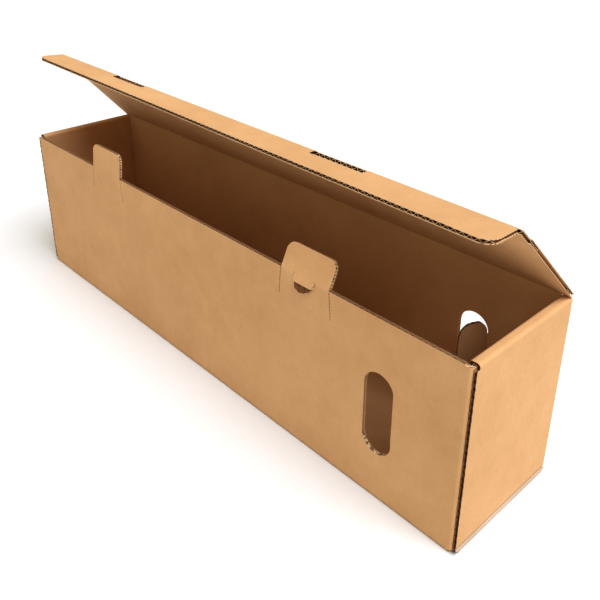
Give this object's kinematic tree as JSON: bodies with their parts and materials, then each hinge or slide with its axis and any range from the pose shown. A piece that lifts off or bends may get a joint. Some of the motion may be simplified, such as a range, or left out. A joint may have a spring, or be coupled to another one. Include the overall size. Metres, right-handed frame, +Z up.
{
  "type": "lidded corrugated shipping box",
  "caption": "Long narrow cardboard box folded from one sheet, with a hinged lid, slotted tuck flap, lock tabs and hand holes.",
  "frame": {"origin": "middle of the underside of the base", "axes": "+X along the length, towards the end with the hand holes; +Y from the front wall to the back wall, where the lid is hinged; +Z up"},
  "size_m": [0.67, 0.1385, 0.279],
  "materials": {
    "kraft_board": "matte uncoated brown liner"
  },
  "bodies": {
    "tray": {"tray": "kraft_board"},
    "lid": {"lid": "kraft_board"},
    "tuck_flap": {"tuck_flap": "kraft_board"},
    "left_tab": {"left_tab": "kraft_board"},
    "middle_tab": {"middle_tab": "kraft_board"},
    "front_hand_flap": {"front_hand_flap": "kraft_board"},
    "rear_hand_flap": {"rear_hand_flap": "kraft_board"}
  },
  "joints": [
    {"name": "lid_hinge", "type": "hinge", "parent": "tray", "child": "lid", "pos_m": [0, 0.0656, 0.1838], "axis": [-1, 0, 0], "range_deg": [-30, 134]},
    {"name": "tuck_fold", "type": "hinge", "parent": "lid", "child": "tuck_flap", "pos_m": [0, -0.02332, 0.27587], "axis": [-1, 0, 0], "range_deg": [-47, 43]},
    {"name": "left_tab_crease", "type": "hinge", "parent": "tray", "child": "left_tab", "pos_m": [-0.163, -0.0656, 0.1786], "axis": [-1, 0, 0], "range_deg": [-96, 84]},
    {"name": "middle_tab_crease", "type": "hinge", "parent": "tray", "child": "middle_tab", "pos_m": [0.163, -0.0656, 0.1786], "axis": [-1, 0, 0], "range_deg": [-115, 65]},
    {"name": "front_hand_crease", "type": "hinge", "parent": "tray", "child": "front_hand_flap", "pos_m": [0.2651, -0.0638, 0.089], "axis": [0, 0, -1], "range_deg": [-100, 70]},
    {"name": "rear_hand_crease", "type": "hinge", "parent": "tray", "child": "rear_hand_flap", "pos_m": [0.2651, 0.0638, 0.089], "axis": [0, 0, 1], "range_deg": [-69, 101]}
  ]
}
